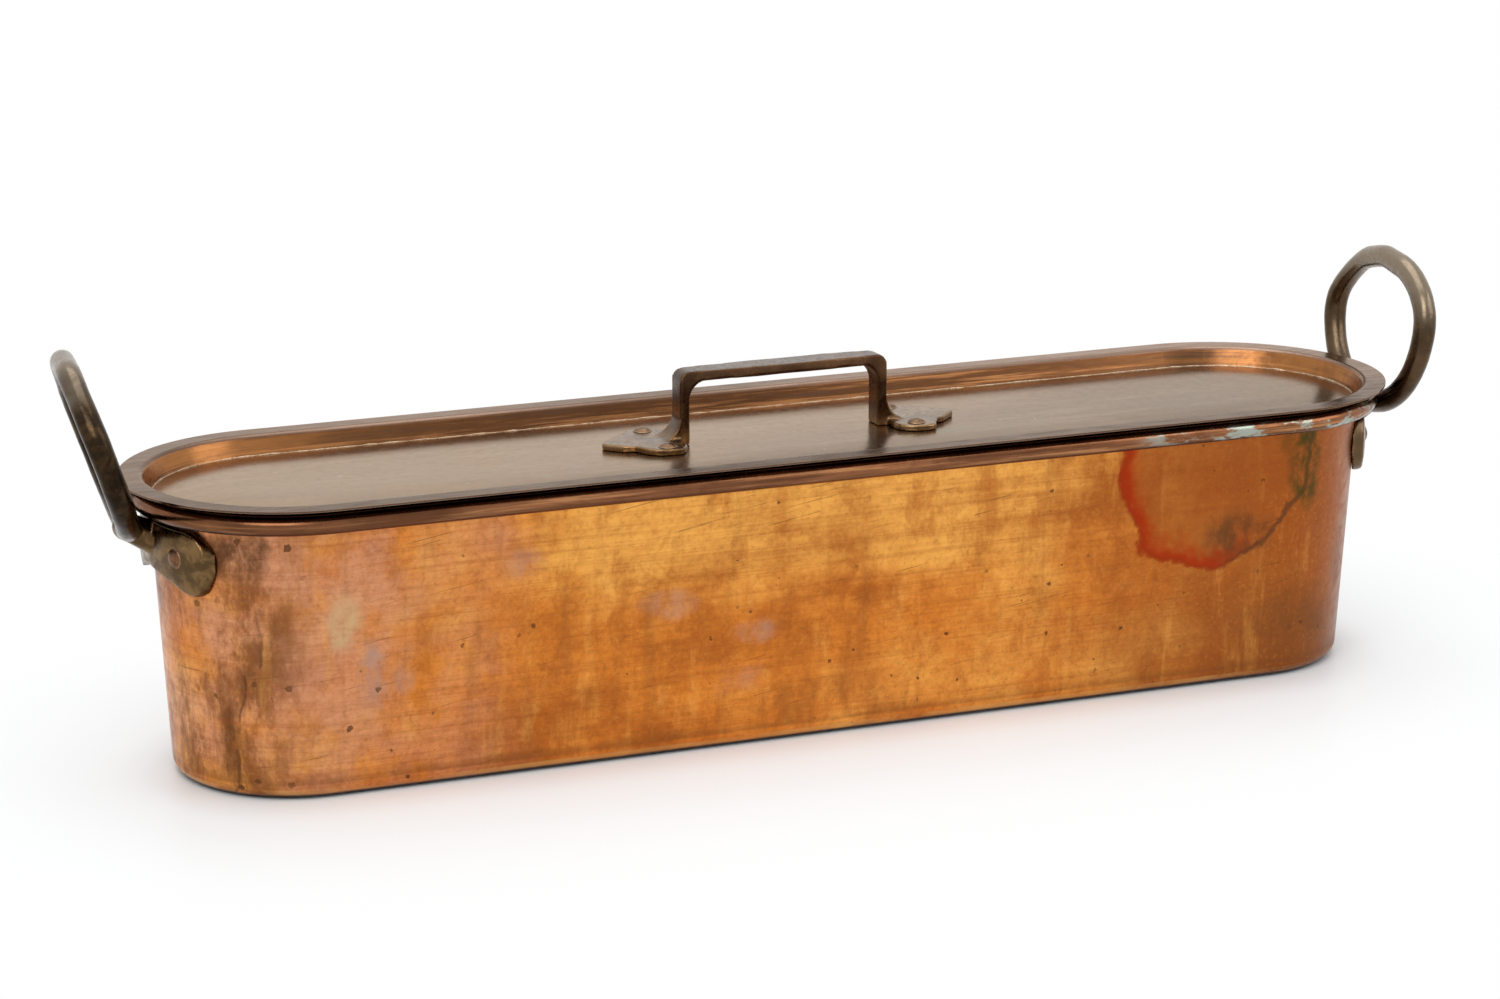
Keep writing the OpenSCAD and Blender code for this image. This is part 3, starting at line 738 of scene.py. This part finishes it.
@dataclass(frozen=True)
class DullCopper(Finish):
    """Dull taupe copper of the lid's panel, darker to the front and right, stained by water and streaked with
    painted reflections.
    """

    depth: float = 0.0005
    ground: Tone = tone(0.36, 0.26, 0.18)
    near: Tone = tone(0.25, 0.19, 0.145)
    warm: Tone = tone(0.4, 0.27, 0.17)
    dark: Tone = tone(0.1, 0.065, 0.045)
    streak_highlight: Tone = tone(0.52, 0.4, 0.3)
    speck: Tone = tone(0.6, 0.5, 0.4)
    blue: Tone = tone(0.34, 0.39, 0.4)
    green: Tone = tone(0.2, 0.26, 0.2)
    stain_rag: float = 1.2

    def surface(self, coat: Coat) -> tuple[Socket, Socket]:
        """Lays the tones, from the ground up.

        Args:
            coat: the finish in the making.

        Returns:
            The roughness and the height.
        """
        cloud = coat.clouds(12.0, 5.0, 0.6)
        blotch = coat.mottle(48.0)[1]
        back = coat.scaled(cloud, 0.05, coat.scaled(coat.x, -0.17, coat.y))
        coat.colour = coat.mix(coat.step(back, 0.055, -0.045), self.ground, self.near)
        coat.lay(self.warm, coat.step(cloud, 0.5, 0.68), 0.5)
        coat.lay(self.dark, blotch, 0.07)
        coat.lay(self.dark, coat.step(coat.x, 0.06, 0.2), 0.3)
        # Painted reflection streaks drawn along the length: paler bands and darker ones.
        reflection_streaks = coat.clouds(85.0, 5.0, 0.65, (0.12, 1.0, 1.0))
        coat.lay(self.streak_highlight, coat.step(reflection_streaks, 0.5, 0.7), 0.22)
        coat.lay(self.dark, coat.step(reflection_streaks, 0.48, 0.32), 0.12)
        coat.lay(self.speck, coat.pits(120.0, 0.13), 0.5)
        self.stains(coat)
        # Painted shade on the faces that look down.
        coat.lay(self.dark, coat.step(coat.upward(), -0.2, -0.5), 0.5)
        rough = coat.scaled(cloud, 0.1, coat.scaled(blotch, 0.05, self.roughness - 0.04))
        return rough, coat.scaled(coat.clouds(15.0, 2.0), 6.0, coat.clouds(60.0, 2.0))

    def stains(self, coat: Coat) -> None:
        """Lays bluish water stains by the front edge and verdigris round the handle's feet.

        Args:
            coat: the finish in the making.
        """
        ragged = coat.step(coat.clouds(130.0, 5.0, 0.7), 0.46, 0.6)
        for mark in (
            Smear((-0.19, -0.052, 0.13), (0.03, 0.01, 0.02), self.blue, 0.6),
            Smear((-0.12, -0.03, 0.13), (0.02, 0.012, 0.02), self.blue, 0.3),
            Smear((-0.068, -0.026, 0.133), (0.022, 0.006, 0.02), self.green, 0.7),
            Smear((0.068, -0.026, 0.133), (0.022, 0.006, 0.02), self.green, 0.8),
            Smear((0.055, -0.016, 0.133), (0.008, 0.012, 0.02), self.green, 0.7),
        ):
            coat.smear(mark, self.stain_rag, ragged)


@dataclass(frozen=True)
class RimCopper(Finish):
    """Brown copper of the lid's flange, warmer on the wall of the tray, bright on its outer edge."""

    depth: float = 0.0006
    ground: Tone = tone(0.3, 0.2, 0.15)
    dark: Tone = tone(0.085, 0.05, 0.035)
    warm: Tone = tone(0.33, 0.135, 0.045)
    wall_dark: Tone = tone(0.1, 0.042, 0.018)
    wall_highlight: Tone = tone(0.46, 0.2, 0.075)
    bright: Tone = tone(0.62, 0.4, 0.27)
    wall_top: float = 0.1374
    wall_fade: float = 0.0012
    edge_r: float = 0.0007

    def surface(self, coat: Coat) -> tuple[Socket, Socket]:
        """Lays the tones, from the ground up.

        Args:
            coat: the finish in the making.

        Returns:
            The roughness and the height.
        """
        along = (0.2, 1.0, 1.0)
        cloud, blotch = coat.mottle(22.0, along)
        fine_cloud, fine_blotch = coat.mottle(75.0, along)
        coat.colour = self.ground
        coat.lay(self.dark, cloud, 0.7)
        coat.lay(self.dark, fine_blotch, 0.12)
        coat.lay(self.dark, coat.step(coat.x, -0.16, -0.27), 0.5)
        coat.lay(self.dark, coat.step(coat.y, 0.0, -0.05), 0.9)
        self.tray_wall(coat, cloud, blotch)
        # Painted shade on the faces that look down.
        coat.lay(self.dark, coat.step(coat.upward(), -0.2, -0.5), 0.6)
        coat.lay(self.bright, coat.worn(self.edge_r), 0.45)
        rough = coat.scaled(fine_blotch, 0.14, self.roughness - 0.05)
        return rough, coat.scaled(coat.clouds(26.0, 2.0), 5.0, fine_cloud)

    def tray_wall(self, coat: Coat, cloud: Socket, blotch: Socket) -> None:
        """Gives the wall of the tray its own tones, brighter to the ends, with painted highlight streaks
        along it.

        Args:
            coat: the finish in the making.
            cloud: broad clouds of tarnish.
            blotch: fine blotches of tarnish.
        """
        flange = coat.colour
        outward = coat.scaled(cloud, 0.09, coat.size(coat.x))
        coat.colour = coat.mix(coat.step(outward, 0.17, 0.33), self.wall_dark, self.warm)
        coat.lay(self.wall_dark, blotch, 0.35)
        # Painted highlight streaks along the wall, with darker stripes between them.
        lines = coat.brushing()[0]
        coat.lay(self.wall_highlight, coat.step(lines, 0.5, 0.66), 0.6)
        coat.lay(self.dark, coat.step(lines, 0.48, 0.32), 0.75)
        below = coat.step(coat.z, self.wall_top + self.wall_fade, self.wall_top)
        coat.colour = coat.mix(below, flange, coat.colour)


@dataclass(frozen=True)
class CastBronze(Finish):
    """Cast bronze with a dark skin, a painted highlight on faces that look up and over a range of heights,
    and golden on rubbed edges.
    """

    depth: float = 0.0004
    ground: Tone = tone(0.1, 0.062, 0.034)
    pale: Tone = tone(0.27, 0.215, 0.155)
    dark: Tone = tone(0.042, 0.027, 0.016)
    golden: Tone = tone(0.36, 0.21, 0.085)
    pale_from: float = 0.17
    pale_to: float = 0.205
    top_highlight: float = 0.35
    foot_top: float = 0.126
    foot_fade: float = 0.008
    foot_share: float = 0.5
    edge_r: float = 0.002
    wear: float = 0.55

    def surface(self, coat: Coat) -> tuple[Socket, Socket]:
        """Lays the tones, from the ground up.

        Args:
            coat: the finish in the making.

        Returns:
            The roughness and the height.
        """
        cloud, blotch = coat.mottle(26.0)
        fine_cloud, fine_blotch = coat.mottle(90.0)
        coat.colour = self.ground
        coat.lay(self.dark, cloud, 0.85)
        coat.lay(self.golden, blotch, 0.1)
        # Painted highlight: the faces that look up are paler.
        coat.lay(self.pale, coat.step(coat.upward(), 0.1, 0.9), self.top_highlight)
        # Painted highlight over a band of heights, which on the loops is their top.
        coat.lay(self.pale, coat.step(coat.scaled(cloud, 0.01, coat.z), self.pale_from, self.pale_to), 0.85)
        coat.lay(self.dark, fine_blotch, 0.12)
        foot = coat.step(coat.z, self.foot_top, self.foot_top - self.foot_fade)
        coat.lay(self.golden, coat.times(foot, coat.scaled(blotch, 0.6, 0.4)), self.foot_share)
        coat.lay(self.golden, coat.worn(self.edge_r), self.wear)
        rough = coat.scaled(fine_blotch, 0.16, self.roughness - 0.06)
        return rough, coat.scaled(coat.clouds(300.0, 2.0), 0.15, fine_cloud)


@dataclass(frozen=True)
class PlainMetal(Finish):
    """Small or hidden metal: a ground tone, blotches, rubbed edges and, if asked, a tinned top."""

    ground: Tone = tone(0.4, 0.2, 0.1)
    blotched: Tone = tone(0.15, 0.08, 0.045)
    rubbed: Tone = tone(0.6, 0.4, 0.25)
    scale: float = 60.0
    edge_r: float = 0.0007
    wear: float = 0.5
    top: Tone | None = None

    def surface(self, coat: Coat) -> tuple[Socket, Socket]:
        """Lays the tones, from the ground up.

        Args:
            coat: the finish in the making.

        Returns:
            The roughness and the height.
        """
        cloud, blotch = coat.mottle(self.scale)
        coat.colour = self.ground
        coat.lay(self.blotched, blotch, 0.8)
        coat.lay(self.rubbed, coat.worn(self.edge_r), self.wear)
        if self.top is not None:
            tinned = coat.step(coat.upward(), 0.4, 0.7)
            coat.lay(self.top, coat.times(tinned, coat.scaled(blotch, -0.35, 1.0)))
        return coat.scaled(cloud, 0.16, self.roughness - 0.08), blotch


RUBBED_COPPER = PanCopper("rubbed_copper", roughness=0.3, bump=0.1)
BASE_COPPER = PlainMetal(
    "base_copper", roughness=0.34, ground=tone(0.5, 0.22, 0.08), blotched=tone(0.2, 0.12, 0.06),
    rubbed=tone(0.85, 0.55, 0.25), scale=24.0, wear=0.8, top=tone(0.58, 0.56, 0.53))
IRON_WIRE = PlainMetal(
    "iron_wire", roughness=0.5, ground=tone(0.12, 0.11, 0.1), blotched=tone(0.09, 0.045, 0.025), wear=0.2)
# The two loops are one bronze in two copies: the left copy's near-black ground is a painted dark reflection,
# and the right copy's small golden share on the foot is painted shade.
LEFT_BRONZE = CastBronze(
    "left_loop_bronze", roughness=0.25, bump=0.09, ground=tone(0.026, 0.016, 0.009),
    dark=tone(0.018, 0.011, 0.007), pale_from=0.19, pale_to=0.204, top_highlight=0.06)
RIGHT_BRONZE = CastBronze("right_loop_bronze", roughness=0.27, bump=0.09, foot_share=0.12, wear=0.4)
STRAP_BRONZE = CastBronze(
    "strap_bronze", roughness=0.25, bump=0.03, ground=tone(0.115, 0.056, 0.029),
    dark=tone(0.045, 0.022, 0.013), pale=tone(0.24, 0.165, 0.095), pale_from=0.146, pale_to=0.134,
    top_highlight=0.1, foot_top=0.142, wear=0.3)
HANDLE_RIVET = PlainMetal(
    "handle_rivet_copper", roughness=0.36, ground=tone(0.2, 0.095, 0.05),
    blotched=tone(0.06, 0.035, 0.022), scale=120.0)
LID_RIM = RimCopper("lid_rim_copper", roughness=0.26, bump=0.1, grazing=tone(0.95, 0.87, 0.8))
LID_PANEL = DullCopper("lid_panel_copper", roughness=0.19, bump=0.05, grazing=tone(0.95, 0.88, 0.81))
BRIGHT_BRAZE = PlainMetal(
    "bright_braze", roughness=0.3, ground=tone(0.52, 0.39, 0.27), blotched=tone(0.26, 0.16, 0.09), scale=80.0)
LID_RIVET = PlainMetal(
    "lid_rivet_copper", roughness=0.36, ground=tone(0.2, 0.115, 0.065),
    blotched=tone(0.08, 0.05, 0.032), scale=120.0)
DULL_TIN = PlainMetal(
    "dull_tin", roughness=0.42, ground=tone(0.42, 0.4, 0.37), blotched=tone(0.27, 0.25, 0.23),
    rubbed=tone(0.5, 0.28, 0.15), scale=22.0, wear=0.35)
DRAINER_RIVET = PlainMetal(
    "drainer_rivet_copper", roughness=0.4, ground=tone(0.38, 0.22, 0.14),
    blotched=tone(0.2, 0.13, 0.09), scale=120.0)


def only(piece: bpy.types.Object) -> None:
    """Selects one object alone and makes it active.

    Args:
        piece: the object.
    """
    bpy.ops.object.select_all(action="DESELECT")
    piece.select_set(True)
    bpy.context.view_layer.objects.active = piece


def apply(piece: bpy.types.Object, kind: str, **settings: object) -> None:
    """Adds a modifier to a piece and applies it.

    Args:
        piece: the object.
        kind: the modifier's type.
        settings: properties to set on the modifier.
    """
    only(piece)
    modifier = piece.modifiers.new(kind.lower(), kind)
    for name, value in settings.items():
        setattr(modifier, name, value)
    bpy.ops.object.modifier_apply(modifier=modifier.name)


def cast_copy(node: str, name: str, voxel: float, rounds: int) -> bpy.types.Object:
    """Copies a node and softens the copy's creases as casting does.

    Args:
        node: the node that the copy stands for.
        name: the copy's name.
        voxel: cell of the remeshing, in metres.
        rounds: rounds of smoothing.

    Returns:
        The softened piece.
    """
    only(frame["nodes"][node])
    bpy.ops.object.duplicate()
    piece = bpy.context.view_layer.objects.active
    piece.name = name
    piece.data.name = name
    piece.parent = None
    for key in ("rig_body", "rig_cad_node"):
        if key in piece:
            del piece[key]
    bpy.ops.object.mode_set(mode="EDIT")
    bpy.ops.mesh.select_all(action="SELECT")
    bpy.ops.mesh.remove_doubles(threshold=0.00001)
    bpy.ops.mesh.normals_make_consistent(inside=False)
    bpy.ops.object.mode_set(mode="OBJECT")
    apply(piece, "REMESH", mode="VOXEL", voxel_size=voxel, use_smooth_shade=True)
    apply(piece, "SMOOTH", factor=0.5, iterations=rounds)
    return piece


def roughen(piece: bpy.types.Object, cell: float, depth: float) -> None:
    """Works hollows of a casting into a piece, inwards only.

    Args:
        piece: the object.
        cell: size of the hollows, in metres.
        depth: their greatest depth, in metres.
    """
    hollows = bpy.data.textures.new(f"{piece.name}_hollows", "CLOUDS")
    hollows.noise_scale = cell
    hollows.noise_depth = 1
    apply(piece, "DISPLACE", texture=hollows, texture_coords="LOCAL", strength=depth, mid_level=1.0)


def dress(piece: bpy.types.Object, finish: Finish) -> None:
    """Gives a piece one material.

    Args:
        piece: the object.
        finish: the finish.
    """
    piece.data.materials.clear()
    piece.data.materials.append(finish.build())
    LOG.info("%s is finished with %s", piece.name, finish.name)


@dataclass(frozen=True)
class Pull:
    """A blow of the hammer: a place on a piece, how far round it the metal follows, and its move."""

    place: Point
    reach: float
    move: Point

    def apply(self, piece: bpy.types.Object) -> None:
        """Moves the metal round the place.

        Args:
            piece: the object.
        """
        only(piece)
        nearest = min(piece.data.vertices, key=lambda vertex: math.dist(vertex.co, self.place)).index
        bpy.ops.object.mode_set(mode="EDIT")
        bpy.ops.mesh.select_all(action="DESELECT")
        bpy.ops.object.mode_set(mode="OBJECT")
        piece.data.vertices[nearest].select = True
        bpy.ops.object.mode_set(mode="EDIT")
        bpy.ops.transform.translate(
            value=self.move, use_proportional_edit=True, proportional_size=self.reach,
            proportional_edit_falloff="SMOOTH")
        bpy.ops.object.mode_set(mode="OBJECT")


LEFT_PULLS = (
    Pull((-0.2945, -0.034, 0.0985), 0.016, (0.0013, -0.0016, -0.004)),
    Pull((-0.3035, 0.0235, 0.0975), 0.014, (0.0, 0.001, -0.003)),
    Pull((-0.341, 0.036, 0.19), 0.034, (0.001, -0.002, -0.004)),
    Pull((-0.343, -0.037, 0.19), 0.03, (0.0005, 0.0015, -0.002)),
)
RIGHT_PULLS = (
    Pull((0.3255, 0.033, 0.190), 0.042, (0.0, -0.0025, -0.0075)),
    Pull((0.3255, -0.036, 0.188), 0.032, (0.0, 0.0015, -0.004)),
    Pull((0.2953, -0.0302, 0.0972), 0.016, (0.0, 0.0, -0.004)),
    Pull((0.2989, 0.0224, 0.0972), 0.014, (0.0, 0.0, -0.003)),
)
STRAP_PULLS = (
    Pull((-0.077, -0.012, 0.1345), 0.007, (0.001, 0.0024, 0.0)),
    Pull((-0.0637, -0.0235, 0.1345), 0.009, (0.003, 0.0006, 0.0)),
    Pull((-0.072, 0.016, 0.1345), 0.007, (0.0, -0.0018, 0.0)),
    Pull((0.076, -0.013, 0.1345), 0.006, (-0.001, 0.002, 0.0)),
    Pull((0.0685, -0.0222, 0.1345), 0.007, (0.002, -0.0008, 0.0)),
    Pull((0.074, 0.015, 0.1345), 0.008, (-0.001, -0.002, 0.0)),
)


@dataclass
class Pan:
    """The pan: wall, base and wire."""

    wall: Finish = RUBBED_COPPER
    base: Finish = BASE_COPPER
    wire: Finish = IRON_WIRE

    def build(self) -> None:
        """Dresses the pan's nodes."""
        nodes = frame["nodes"]
        dress(nodes["side_wall"], self.wall)
        dress(nodes["base_plate"], self.base)
        dress(nodes["rim_wire"], self.wire)


@dataclass
class LoopHandle:
    """One cast loop with its foot and its rivets."""

    side: Side
    pulls: tuple[Pull, ...]
    bronze: Finish
    rivet: Finish = HANDLE_RIVET
    voxel: float = 0.0008
    rounds: int = 4
    fullness: float = 0.00025
    hollow: float = 0.016
    hollow_depth: float = 0.0005

    def build(self) -> None:
        """Builds the softened casting and dresses the rivets."""
        name = self.side.name.lower()
        piece = cast_copy(f"{name}_handle", f"{name}_loop", self.voxel, self.rounds)
        apply(piece, "DISPLACE", strength=self.fullness, mid_level=0.0)
        roughen(piece, self.hollow, self.hollow_depth)
        for pull in self.pulls:
            pull.apply(piece)
        dress(piece, self.bronze)
        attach(piece, Body.KETTLE.value)
        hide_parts(f"{name}_handle")
        dress(frame["nodes"][f"{name}_handle_rivets"], self.rivet)


@dataclass
class Lid:
    """The lid: rim, panel, brazed seam, strap handle and rivets."""

    rim: Finish = LID_RIM
    panel: Finish = LID_PANEL
    braze: Finish = BRIGHT_BRAZE
    bronze: Finish = STRAP_BRONZE
    rivet: Finish = LID_RIVET
    strap_voxel: float = 0.0007
    strap_rounds: int = 6
    strap_hollow: float = 0.014
    strap_hollow_depth: float = 0.0003
    seam_r: float = 0.0009
    seam_inset: float = 0.0006
    seam_segments: int = 180
    seam_cuts: int = 220
    seam_hollow: float = 0.006
    seam_hollow_depth: float = 0.0011

    def build(self) -> None:
        """Dresses the lid's nodes, and builds the seam and the softened strap."""
        nodes = frame["nodes"]
        dress(nodes["lid_rim"], self.rim)
        dress(nodes["lid_panel"], self.panel)
        dress(nodes["lid_handle_rivets"], self.rivet)
        strap = cast_copy("lid_handle", "lid_strap", self.strap_voxel, self.strap_rounds)
        roughen(strap, self.strap_hollow, self.strap_hollow_depth)
        for pull in STRAP_PULLS:
            pull.apply(strap)
        dress(strap, self.bronze)
        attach(strap, Body.LID.value)
        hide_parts("lid_handle")
        seam = self.seam()
        dress(seam, self.braze)
        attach(seam, Body.LID.value)

    def seam(self) -> bpy.types.Object:
        """Builds the uneven bead of braze along the foot of the tray's wall.

        Returns:
            The bead.
        """
        bpy.ops.object.select_all(action="DESELECT")
        # A turn by half a segment keeps every point off the middle, where the ring is drawn apart.
        half_segment = math.pi / self.seam_segments
        bpy.ops.mesh.primitive_torus_add(
            major_segments=self.seam_segments, minor_segments=10, major_radius=FORM.tray_r - self.seam_inset,
            minor_radius=self.seam_r, location=(0.0, 0.0, FORM.tray_z), rotation=(0.0, 0.0, half_segment))
        bead = bpy.context.view_layer.objects.active
        bead.name = "lid_braze"
        bpy.ops.object.transform_apply(location=True, rotation=True, scale=True)
        bpy.ops.object.mode_set(mode="EDIT")
        for side in Side:
            bpy.ops.mesh.select_all(action="DESELECT")
            bpy.ops.object.mode_set(mode="OBJECT")
            for vertex in bead.data.vertices:
                vertex.select = vertex.co.x * side.value > 0.0
            bpy.ops.object.mode_set(mode="EDIT")
            bpy.ops.transform.translate(value=(side.value * FORM.half_straight, 0.0, 0.0))
        bpy.ops.mesh.select_mode(type="EDGE")
        bpy.ops.mesh.select_all(action="DESELECT")
        bpy.ops.object.mode_set(mode="OBJECT")
        for edge in bead.data.edges:
            ends = [bead.data.vertices[i].co.x for i in edge.vertices]
            edge.select = abs(ends[0] - ends[1]) > FORM.half_straight
        bpy.ops.object.mode_set(mode="EDIT")
        bpy.ops.mesh.subdivide(number_cuts=self.seam_cuts)
        bpy.ops.mesh.select_mode(type="VERT")
        bpy.ops.mesh.select_all(action="SELECT")
        bpy.ops.mesh.normals_make_consistent(inside=False)
        bpy.ops.object.mode_set(mode="OBJECT")
        roughen(bead, self.seam_hollow, self.seam_hollow_depth)
        only(bead)
        bpy.ops.object.shade_smooth()
        return bead


@dataclass
class Drainer:
    """The perforated drainer with its bails and rivets."""

    plate: Finish = DULL_TIN
    rivet: Finish = DRAINER_RIVET

    def build(self) -> None:
        """Dresses the drainer's nodes."""
        nodes = frame["nodes"]
        for name in ("drainer_plate", "drainer_left_handle", "drainer_right_handle"):
            dress(nodes[name], self.plate)
        dress(nodes["drainer_rivets"], self.rivet)


@dataclass(frozen=True)
class Lamp:
    """A square soft lamp that faces the kettle: where it hangs, its side in metres and its watts."""

    name: str
    place: Point
    side: float
    power: float
    target_z: float = 0.1

    def build(self) -> None:
        """Hangs the lamp."""
        bpy.ops.object.select_all(action="DESELECT")
        bpy.ops.object.light_add(type="AREA", location=self.place)
        lamp = bpy.context.view_layer.objects.active
        lamp.name = self.name
        lamp.data.size = self.side
        lamp.data.energy = self.power
        x, y, z = self.place
        lean = math.atan2(math.hypot(x, y), z - self.target_z)
        lamp.rotation_euler = (lean, 0.0, math.atan2(y, x) + math.pi / 2)


@dataclass
class Studio:
    """White floor, soft light and the camera."""

    eye: Point = (-0.7422, -1.7520, 0.6004)
    turn: float = -22.53
    tilt: float = 14.73
    lens: float = 99.15
    sensor: float = 36.0
    floor_size: float = 14.0
    floor_z: float = -0.0004
    paper: Tone = tone(0.9, 0.93, 0.945)
    white: Tone = tone(1.0, 1.0, 1.0)
    foot_glow: float = 0.45
    room_light: float = 0.6
    room_seen: float = 1.0
    lamps: tuple[Lamp, ...] = (
        Lamp("key", (-1.1, -1.5, 1.9), 1.6, 26.0),
        Lamp("fill", (1.6, -1.2, 1.3), 1.4, 9.0),
        Lamp("top", (0.1, 0.5, 2.2), 1.8, 14.0),
    )

    def build(self) -> None:
        """Builds the floor, the world, the lamps and the camera."""
        self.floor()
        self.world()
        for lamp in self.lamps:
            lamp.build()
        self.camera()

    def floor(self) -> None:
        """Lays a pale floor that turns to plain white away from the kettle."""
        bpy.ops.object.select_all(action="DESELECT")
        bpy.ops.mesh.primitive_plane_add(size=self.floor_size, location=(0.0, 0.0, self.floor_z))
        floor = bpy.context.view_layer.objects.active
        floor.name = "floor"
        bpy.ops.object.transform_apply(location=True, rotation=True, scale=True)
        material = bpy.data.materials.new("white_paper")
        material.use_nodes = True
        material.node_tree.nodes.clear()
        graph = Graph(material.node_tree)
        paper = graph.node("ShaderNodeBsdfPrincipled")
        paper.inputs["Base Color"].default_value = self.paper
        paper.inputs["Roughness"].default_value = 0.4
        paper.inputs["Specular IOR Level"].default_value = 0.25
        glow = graph.node("ShaderNodeEmission")
        glow.inputs["Color"].default_value = self.white
        glow.inputs["Strength"].default_value = 1.0
        x, y, _ = graph.split(graph.coordinates())
        away = graph.minus(graph.pan_radius(x, y), FORM.base_r - FORM.edge_z)
        near = graph.times(graph.step(away, 0.002, 0.04), self.foot_glow)
        share = graph.scaled(graph.step(away, 0.02, 0.2), 1.0 - self.foot_glow, near)
        blend = graph.node("ShaderNodeMixShader")
        graph.feed(blend.inputs[0], graph.times(share, graph.seen()))
        graph.feed(blend.inputs[1], paper.outputs[0])
        graph.feed(blend.inputs[2], glow.outputs[0])
        graph.feed(graph.node("ShaderNodeOutputMaterial").inputs["Surface"], blend.outputs[0])
        floor.data.materials.append(material)

    def world(self) -> None:
        """Makes a white world that lights the kettle softly."""
        world = bpy.data.worlds.new("white_room")
        bpy.context.scene.world = world
        world.use_nodes = True
        world.node_tree.nodes.clear()
        graph = Graph(world.node_tree)
        back = graph.node("ShaderNodeBackground")
        back.inputs["Color"].default_value = self.white
        strength = graph.scaled(graph.seen(), self.room_seen - self.room_light, self.room_light)
        graph.feed(back.inputs["Strength"], strength)
        graph.feed(graph.node("ShaderNodeOutputWorld").inputs["Surface"], back.outputs[0])

    def camera(self) -> None:
        """Sets up the camera at the photograph's place."""
        bpy.ops.object.select_all(action="DESELECT")
        bpy.ops.object.camera_add(
            location=self.eye, rotation=(math.radians(90.0 - self.tilt), 0.0, math.radians(self.turn)))
        camera = bpy.context.view_layer.objects.active
        camera.data.sensor_fit = "HORIZONTAL"
        camera.data.sensor_width = self.sensor
        camera.data.lens = self.lens
        bpy.context.scene.camera = camera
        bpy.context.scene.view_settings.view_transform = "Standard"


def main() -> None:
    """Builds the kettle's looks and its studio."""
    logging.basicConfig(level=logging.INFO, format="%(message)s")
    Studio().build()
    Pan().build()
    LoopHandle(Side.LEFT, LEFT_PULLS, LEFT_BRONZE).build()
    LoopHandle(Side.RIGHT, RIGHT_PULLS, RIGHT_BRONZE).build()
    Lid().build()
    Drainer().build()


if __name__ == "__main__":
    main()
